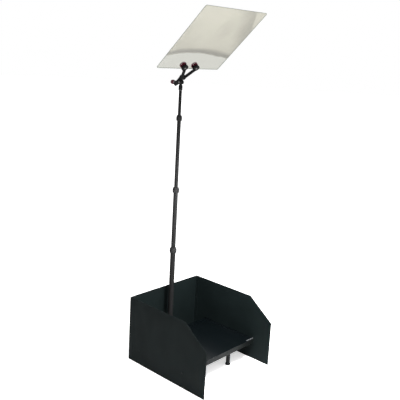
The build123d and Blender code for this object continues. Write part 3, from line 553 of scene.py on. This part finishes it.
def rounded_profile(points, radii, steps=5):
    """A closed (radius, height) profile with its corners rounded. Points on the axis stay sharp."""
    result = []
    count = len(points)
    for i, point in enumerate(points):
        if radii[i] <= 0:
            result.append(point)
        else:
            result += rounded_corner(points[i - 1], point, points[(i + 1) % count], radii[i], steps)
    return result


# ----------------------------------------------------------------------- hood
SHEET_ROUNDING = 0.55 * MM


def make_panel(node, outline, low_x, thickness):
    """A sheet-metal wall: its outline in Y and Z, extruded across, with rounded edges."""
    work = bmesh.new()
    face = work.faces.new([work.verts.new((low_x, y, z)) for y, z in outline])
    grown = bmesh.ops.extrude_face_region(work, geom=[face])
    moved = [g for g in grown["geom"] if isinstance(g, bmesh.types.BMVert)]
    bmesh.ops.translate(work, verts=moved, vec=(thickness, 0, 0))
    bmesh.ops.recalc_face_normals(work, faces=work.faces)
    piece = finish_piece(node + "_sheet", mesh_from(work, node + "_sheet"), node)
    return bevelled(piece, SHEET_ROUNDING)


def wall_outline(node):
    """The corner points of a side wall, read from the CAD mesh."""
    low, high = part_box(node)
    points = [(v.co.y, v.co.z) for v in nodes[node].data.vertices]
    front_top = max(z for y, z in points if y < low.y + MM)
    chamfer_end = min(y for y, z in points if z > high.z - MM)
    return [(low.y, low.z), (low.y, front_top), (chamfer_end, high.z), (high.y, high.z), (high.y, low.z)]


for side in ("left", "right"):
    node = f"hood_{side}"
    low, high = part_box(node)
    make_panel(node, wall_outline(node), low.x, high.x - low.x)
refined("hood_back", SHEET_ROUNDING)


# -------------------------------------------------------------- turned pieces
TUBE_ROUNDING = 0.2 * MM
BUSH_ROUNDING = 0.15 * MM
PAD_ROUNDING = 0.3 * MM
SWIVEL_ROUNDING = 0.5 * MM


def measured(node, axis_frame):
    """Smallest and largest radius, and lowest and highest place, of a node about an axis."""
    turned = [axis_frame.inverted() @ v.co for v in nodes[node].data.vertices]
    radii = [Vector((p.x, p.y)).length for p in turned]
    heights = [p.z for p in turned]
    return min(radii), max(radii), min(heights), max(heights)


POLE_FRAME = frame_at(Vector((POLE.x, POLE.y, 0)), Vector((0, 0, 1)))


def make_ring(node, axis_frame, rounding):
    """A tube, bush, ring or washer, with its four edges rounded."""
    inner, outer, low, high = measured(node, axis_frame)
    corners = [(inner, low), (outer, low), (outer, high), (inner, high)]
    lathe(node + "_turned", node, rounded_profile(corners, [rounding] * 4, 3), axis_frame)


def flutes(count, depth, low, high, fade):
    """A radius rule that presses `count` rounded grooves between two heights."""

    def radius_at(radius, height, turn):
        inside = max(0.0, min((height - low) / fade, (high - height) / fade, 1.0))
        inside = inside * inside * (3 - 2 * inside)
        groove = (0.5 + 0.5 * cos(count * turn)) ** 3
        return radius - depth * inside * groove

    return radius_at


COLLAR_FLUTES = 14
FLUTE_DEPTH = 0.9 * MM
FLUTE_FADE = 2.5 * MM
COLLAR_GAPS = (1.7 * MM, 0.5 * MM)      # round the outer tube and round the inner tube
COLLAR_RINGS = 12                       # extra rings along each long straight, for the flutes to bend
COLLAR_SEGMENTS = 168
LOBED_SEGMENTS = 180
PLAIN_SEGMENTS = 72
FOOT_STUD = 4 * MM
FOOT_NECK = 11.3 * MM
FOOT_SHOE = 12 * MM                     # the rubber shoe's height
FOOT_RIBS = 3
FOOT_RIB_PITCH = 1.5 * MM
KNOB_BORE = 3.03 * MM
THREAD = 3.0 * MM                       # radius of the lock screw


def make_collar(number):
    """Twist-lock collar: a smooth skirt, a fluted grip and a tapered shoulder."""
    node = f"collar_{number}"
    _, outer, low, high = measured(node, POLE_FRAME)
    tube = measured("pole_tube" if number == 1 else f"section_{number}_tube", POLE_FRAME)[1]
    inner_tube = measured(f"section_{number + 1}_tube", POLE_FRAME)[1]
    bore = tube + COLLAR_GAPS[0]
    mouth = inner_tube + COLLAR_GAPS[1]
    height = high - low
    grip_low = low + 0.20 * height
    grip_high = low + 0.74 * height
    corners = [
        (bore, low), (outer - 1.6 * MM, low), (outer - 0.4 * MM, low + 0.14 * height),
        (outer - 1.0 * MM, low + 0.17 * height), (outer, low + 0.22 * height),
        (outer, low + 0.68 * height), (outer - 1.6 * MM, low + 0.80 * height),
        (outer - 3.4 * MM, low + 0.97 * height), (outer - 4.2 * MM, high), (mouth, high),
        (mouth, high - 2.5 * MM), (bore, high - 9 * MM),
    ]
    radii = [v * MM for v in (0.4, 0.8, 0.3, 0.2, 0.8, 2.0, 1.2, 0.6, 0.3, 0.4, 0, 0)]
    profile = []
    outline = rounded_profile(corners, radii)
    for a, b in zip(outline, outline[1:]):
        profile.append(a)
        if abs(a[1] - b[1]) > 4 * MM and a[0] > bore + 0.5 * MM:
            for step in range(1, COLLAR_RINGS):
                t = step / COLLAR_RINGS
                profile.append((a[0] + (b[0] - a[0]) * t, a[1] + (b[1] - a[1]) * t))
    profile.append(outline[-1])
    rule = flutes(COLLAR_FLUTES, FLUTE_DEPTH, grip_low, grip_high, FLUTE_FADE)

    def radius_at(radius, place, turn):
        return rule(radius, place, turn) if radius > bore + 0.6 * MM else radius

    lathe(node + "_moulded", node, profile, POLE_FRAME, COLLAR_SEGMENTS, radius_at)


def make_foot(node):
    """Levelling foot: a flared rubber shoe with moulded ribs, on its stud."""
    middle = box_middle(node)
    axis = frame_at(Vector((middle.x, middle.y, 0)), Vector((0, 0, 1)))
    _, outer, low, high = measured(node, axis)
    corners = [
        (0, low), (outer - 3.5 * MM, low), (outer - 3.0 * MM, low + 0.6 * MM), (outer - 1.0 * MM, low),
        (outer, low + 1.2 * MM), (outer, low + 3.8 * MM), (FOOT_NECK + 0.6 * MM, low + 7.0 * MM),
    ]
    radii = [v * MM for v in (0, 0.1, 0.1, 0.4, 0.5, 1.0, 1.2)]
    for rib in range(FOOT_RIBS):
        z = low + 7.6 * MM + rib * FOOT_RIB_PITCH
        corners += [(FOOT_NECK - 0.5 * MM, z), (FOOT_NECK, z + 0.5 * MM), (FOOT_NECK, z + 1.0 * MM)]
        radii += [0.2 * MM] * 3
    corners += [
        (FOOT_NECK - 0.5 * MM, low + FOOT_SHOE), (FOOT_STUD, low + FOOT_SHOE), (FOOT_STUD, high - 0.6 * MM),
        (FOOT_STUD - 0.6 * MM, high), (0, high),
    ]
    radii += [0.3 * MM, 0, 0, 0, 0]
    lathe(node + "_moulded", node, rounded_profile(corners, radii, 3), axis, PLAIN_SEGMENTS, closed=False)


def make_pole_foot():
    """Rubber foot: a pad under the pole, with a plug that goes up into it."""
    node = "pole_foot"
    _, outer, low, high = measured(node, POLE_FRAME)
    plug = measured("pole_tube", POLE_FRAME)[0] - 0.05 * MM
    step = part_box("pole_tube")[0].z
    corners = [
        (0, low), (outer - 1 * MM, low), (outer, low + 1 * MM), (outer, step), (plug, step), (plug, high),
        (0, high),
    ]
    radii = [v * MM for v in (0, 0.4, 0.4, 0.8, 0.1, 0.6, 0)]
    outline = rounded_profile(corners, radii, 3)
    lathe(node + "_moulded", node, outline, POLE_FRAME, PLAIN_SEGMENTS, closed=False)


def make_knob(node, axis_frame, lobes, depth, crown):
    """Moulded hand knob: soft lobes, a crowned face with a shallow dished centre, and a hub behind."""
    _, outer, low, high = measured(node, axis_frame)
    height = high - low
    corners = [
        (KNOB_BORE, low), (0.62 * outer, low), (0.66 * outer, low + 0.10 * height),
        (outer - 0.6 * MM, low + 0.12 * height), (outer, low + 0.26 * height), (outer, high - crown),
        (outer * 0.88, high - 0.25 * crown), (outer * 0.62, high), (outer * 0.5, high),
        (outer * 0.45, high - 0.5 * MM), (0, high - 0.35 * MM), (0, low + 6 * MM),
        (KNOB_BORE, low + 5.8 * MM),
    ]
    radii = [v * MM for v in (0, 0.4, 0.2, 0.5, 0.7, 1.2, 1.0, 0.8, 0.3, 0.3, 0, 0, 0)]

    def radius_at(radius, place, turn):
        share = max(0.0, (radius / outer - 0.7) / 0.3)
        return radius - depth * share * (0.5 + 0.5 * cos(lobes * turn)) ** 2

    lathe(node + "_moulded", node, rounded_profile(corners, radii), axis_frame, LOBED_SEGMENTS, radius_at)


def make_tilt_stud(node, axis_frame):
    """Plated stud with a turned shoulder under the knob."""
    _, shoulder, low, high = measured(node, axis_frame)
    collar_low = reach("tilt_washer", LOCK_DIR)[1] - PIVOT.dot(LOCK_DIR) + 0.1 * MM
    collar_high = reach("tilt_knob", LOCK_DIR)[0] - PIVOT.dot(LOCK_DIR)
    corners = [
        (0, low), (THREAD - 0.5 * MM, low), (THREAD, low + 0.5 * MM), (THREAD, collar_low),
        (shoulder, collar_low), (shoulder, collar_high), (THREAD, collar_high), (THREAD, high), (0, high),
    ]
    radii = [v * MM for v in (0, 0, 0, 0, 0.5, 0.5, 0, 0, 0)]
    outline = rounded_profile(corners, radii, 4)
    lathe(node + "_turned", node, outline, axis_frame, PLAIN_SEGMENTS, closed=False)


def clamp_frame(side):
    """The axis of a glass clamp's screw."""
    return frame_at(Vector(joints[f"{side}_clamp_turn"]["pos_m"]), OUT)


for number in (2, 3, 4):
    make_ring(f"section_{number}_tube", POLE_FRAME, TUBE_ROUNDING)
    make_ring(f"bush_{number}", POLE_FRAME, BUSH_ROUNDING)
make_ring("pole_tube", POLE_FRAME, TUBE_ROUNDING)
for number in (1, 2, 3):
    make_collar(number)
for side in ("left", "right"):
    make_foot(f"foot_{side}")
    make_knob(f"glass_knob_{side}", clamp_frame(side), lobes=9, depth=2.2 * MM, crown=3.0 * MM)
    make_ring(f"rear_pad_{side}", clamp_frame(side), PAD_ROUNDING)
make_pole_foot()
LOCK_FRAME = frame_at(PIVOT, LOCK_DIR)
make_knob("tilt_knob", LOCK_FRAME, lobes=7, depth=1.8 * MM, crown=3.0 * MM)
make_ring("tilt_washer", LOCK_FRAME, PAD_ROUNDING)
make_ring("swivel_ring", POLE_FRAME, SWIVEL_ROUNDING)
make_tilt_stud("tilt_stud", LOCK_FRAME)


# -------------------------------------------------------- cast and cut pieces
CAST_PASSES = 6
CAST_KEEP = 0.35                  # share of the remeshed faces that stays
EDGE_WIDTHS = (                   # millimetres of rounding on the edges of each cut or moulded piece
    ("front_crossbar", 0.4), ("rear_crossbar", 0.4), ("leg_left", 0.4), ("leg_right", 0.4),
    ("pole_clamp", 0.6), ("monitor_pan", 0.3), ("monitor_bezel", 0.35), ("monitor_rear_shell", 0.5),
    ("lcd_panel", 0.3), ("control_strip", 0.15), ("hood_rivets", 0.25), ("frame_screws", 0.3),
    ("mount_screws", 0.3), ("power_inlet", 0.3), ("signal_ports", 0.2), ("pivot_pin", 0.3),
    ("disc_nuts", 0.3), ("front_pads", 0.25),
)
BUTTON_ROUNDING = 0.15 * MM


def cast(node, voxel):
    """A CAD node's shape with every edge softened, as on a casting."""
    mesh = nodes[node].data.copy()
    work = bmesh.new()
    work.from_mesh(mesh)
    bmesh.ops.remove_doubles(work, verts=work.verts, dist=WELD)
    work.to_mesh(mesh)
    work.free()
    piece = finish_piece(node + "_cast", mesh, node)
    remesh = piece.modifiers.new("remesh", "REMESH")
    remesh.mode = "VOXEL"
    remesh.voxel_size = voxel
    soften = piece.modifiers.new("soften", "SMOOTH")
    soften.factor = 0.5
    soften.iterations = CAST_PASSES
    fewer = piece.modifiers.new("fewer", "DECIMATE")
    fewer.ratio = CAST_KEEP
    apply_modifiers(piece)
    piece.data.shade_smooth()
    return piece


cast("tilt_bar", voxel=0.35 * MM)
cast("head_post", voxel=0.35 * MM)
for side in ("left", "right"):
    cast(f"clamp_arm_{side}", voxel=0.4 * MM)
for node, width in EDGE_WIDTHS:
    refined(node, width * MM)
for name in ("power", "menu", "minus", "plus"):
    refined(f"button_{name}", BUTTON_ROUNDING)
bpy.data.objects["monitor_bezel_shaped"].data.materials[0] = MATERIALS["bezel_gloss"]
# The tilt knob gets the maroon copy painted darker against the light it gets.
bpy.data.objects["tilt_knob_moulded"].data.materials[0] = MATERIALS["knob_maroon_dark"]
bpy.data.objects["tilt_stud_turned"].data.materials[0] = MATERIALS["bright_steel"]


# ----------------------------------------------------------- the pane's edges
EDGE_TINT = (0.62, 0.66, 0.60)
EDGE_DARK = (0.20, 0.24, 0.21)
EDGE_LIGHT = (0.38, 0.43, 0.38)
EDGE_MIRROR = 0.25
EDGE_ROUGHNESS = 0.15
EDGE_NOISE = 60                   # patches of tint per metre
FACE_LIMIT = 0.99                 # cosine: faces turned further from the pane's normal are its edge


def glass_edge(name):
    """The cut and polished edge of the pane: greener and denser than the face."""
    material, tree, through, _, _ = glass_blend(name, EDGE_TINT, EDGE_MIRROR, EDGE_ROUGHNESS)
    noise = tree.nodes.new("ShaderNodeTexNoise")
    noise.inputs["Scale"].default_value = EDGE_NOISE
    tint = tree.nodes.new("ShaderNodeValToRGB")
    tint.color_ramp.elements[0].color = (*EDGE_DARK, 1)
    tint.color_ramp.elements[1].color = (*EDGE_LIGHT, 1)
    tree.links.new(noise.outputs["Fac"], tint.inputs["Fac"])
    tree.links.new(tint.outputs["Color"], through.inputs["Color"])
    return material


pane = refined("glass_pane", width=0.5 * MM, segments=2)
pane.data.materials.append(glass_edge("glass_edge"))
for polygon in pane.data.polygons:
    polygon.material_index = 0 if abs(polygon.normal.dot(OUT)) > FACE_LIMIT else 1

# The collets, glass studs, backlight and board stay as the CAD made them, and get their finish here.
for name, node_object in nodes.items():
    node_object.data.materials.clear()
    node_object.data.materials.append(MATERIALS[slot_of_node[name]])
    node_object.data.shade_smooth()
    node_object.data.set_sharp_from_angle(angle=radians(SHARP_ANGLE))

# ---------------------------------------------------------------------- stage
FLOOR_REACH = 30.0
FLOOR_GLOW = 0.55
ROOM_LIGHT = 1.0
CEILING_LIGHT = 0.22
CEILING_SPREAD = 80               # degrees
CEILING_AIM = (0.35, 0.25, -1)
CAMERA_PLACE = (-2.2374, -1.9682, 1.5951)
CAMERA_RIGHT = (0.67867, -0.73245, 0.05411)
CAMERA_FORWARD = (0.72207, 0.65195, -0.23146)
CAMERA_LENS = 55.14               # millimetres, on a sensor 36 mm wide
CAMERA_SENSOR = 36
# What the hood light falls on, by the first letters of the names.
BASE_NAMES = (
    "studio_floor", "hood_", "monitor_", "lcd_panel", "control_strip", "button_", "front_crossbar",
    "rear_crossbar", "leg_", "foot_", "frame_screws", "mount_screws", "pole_", "section_", "collar_",
    "collet_", "bush_",
)


def make_floor():
    """A plain pale floor, with a little light of its own so that its shadows stay faint."""
    work = bmesh.new()
    bmesh.ops.create_circle(work, cap_ends=True, segments=128, radius=FLOOR_REACH)
    floor = bpy.data.objects.new("studio_floor", mesh_from(work, "studio_floor"))
    bpy.context.scene.collection.objects.link(floor)
    shader = Shader("studio_floor", (0.93, 0.93, 0.93), 0.9, Specular_IOR_Level=0.1)
    shader.surface.inputs["Emission Color"].default_value = (1, 1, 1, 1)
    shader.surface.inputs["Emission Strength"].default_value = FLOOR_GLOW
    shader.color(shader.mix_color(shader.noise(0.8, 2), (0.925, 0.925, 0.925), (0.94, 0.94, 0.94)))
    floor.data.materials.append(shader.material)


def area_light(name, place, aim, size, power):
    """A round soft lamp, `size` metres across and `power` watts, that the camera doesn't see."""
    light = bpy.data.lights.new(name, "AREA")
    light.shape = "DISK"
    light.size = size
    light.energy = power
    lamp = bpy.data.objects.new(name, light)
    bpy.context.scene.collection.objects.link(lamp)
    lamp.location = place
    lamp.rotation_euler = (Vector(aim) - Vector(place)).to_track_quat("-Z", "Y").to_euler()
    lamp.visible_camera = False
    return lamp


def keep_light_on_base(lamp):
    """Limits a lamp to the hood, monitor, frame, pole and floor, so that a lowered head isn't overlit."""
    lit = bpy.data.collections.new("lit_by_" + lamp.name)
    for thing in bpy.data.objects:
        if thing.name.startswith(BASE_NAMES):
            lit.objects.link(thing)
    lamp.light_linking.receiver_collection = lit


def make_sun(strength):
    """A wide soft light from above, which keeps the floor even right out to its far edge."""
    light = bpy.data.lights.new("ceiling", "SUN")
    light.energy = strength
    light.angle = radians(CEILING_SPREAD)
    lamp = bpy.data.objects.new("ceiling", light)
    bpy.context.scene.collection.objects.link(lamp)
    lamp.rotation_euler = Vector(CEILING_AIM).to_track_quat("-Z", "Y").to_euler()


def make_world(strength):
    """Even white light from all round, which is also the white background."""
    world = bpy.data.worlds.new("studio")
    world.use_nodes = True
    world.node_tree.nodes["Background"].inputs["Color"].default_value = (1, 1, 1, 1)
    world.node_tree.nodes["Background"].inputs["Strength"].default_value = strength
    bpy.context.scene.world = world


def make_camera():
    """Eye-level camera to the front left of the hood, tilted slightly down and rolled a little."""
    data = bpy.data.cameras.new("camera")
    data.lens = CAMERA_LENS
    data.sensor_width = CAMERA_SENSOR
    camera = bpy.data.objects.new("camera", data)
    right = Vector(CAMERA_RIGHT).normalized()
    forward = Vector(CAMERA_FORWARD).normalized()
    up = right.cross(forward).normalized()
    right = forward.cross(up)
    matrix = Matrix((right, up, -forward)).transposed().to_4x4()
    matrix.translation = Vector(CAMERA_PLACE)
    camera.matrix_world = matrix
    bpy.context.scene.collection.objects.link(camera)
    bpy.context.scene.camera = camera


make_floor()
make_world(ROOM_LIGHT)
make_sun(CEILING_LIGHT)
area_light("key", place=(1.8, -2.6, 3.2), aim=(0, 0, 0.8), size=2.0, power=40)
area_light("fill", place=(-3.5, 0.5, 2.2), aim=(0, 0, 0.8), size=2.5, power=3)
hood_light = area_light("hood_light", place=(-0.12, -0.42, 0.95), aim=(0.1, 0.2, 0.2), size=0.4, power=34)
keep_light_on_base(hood_light)
make_camera()
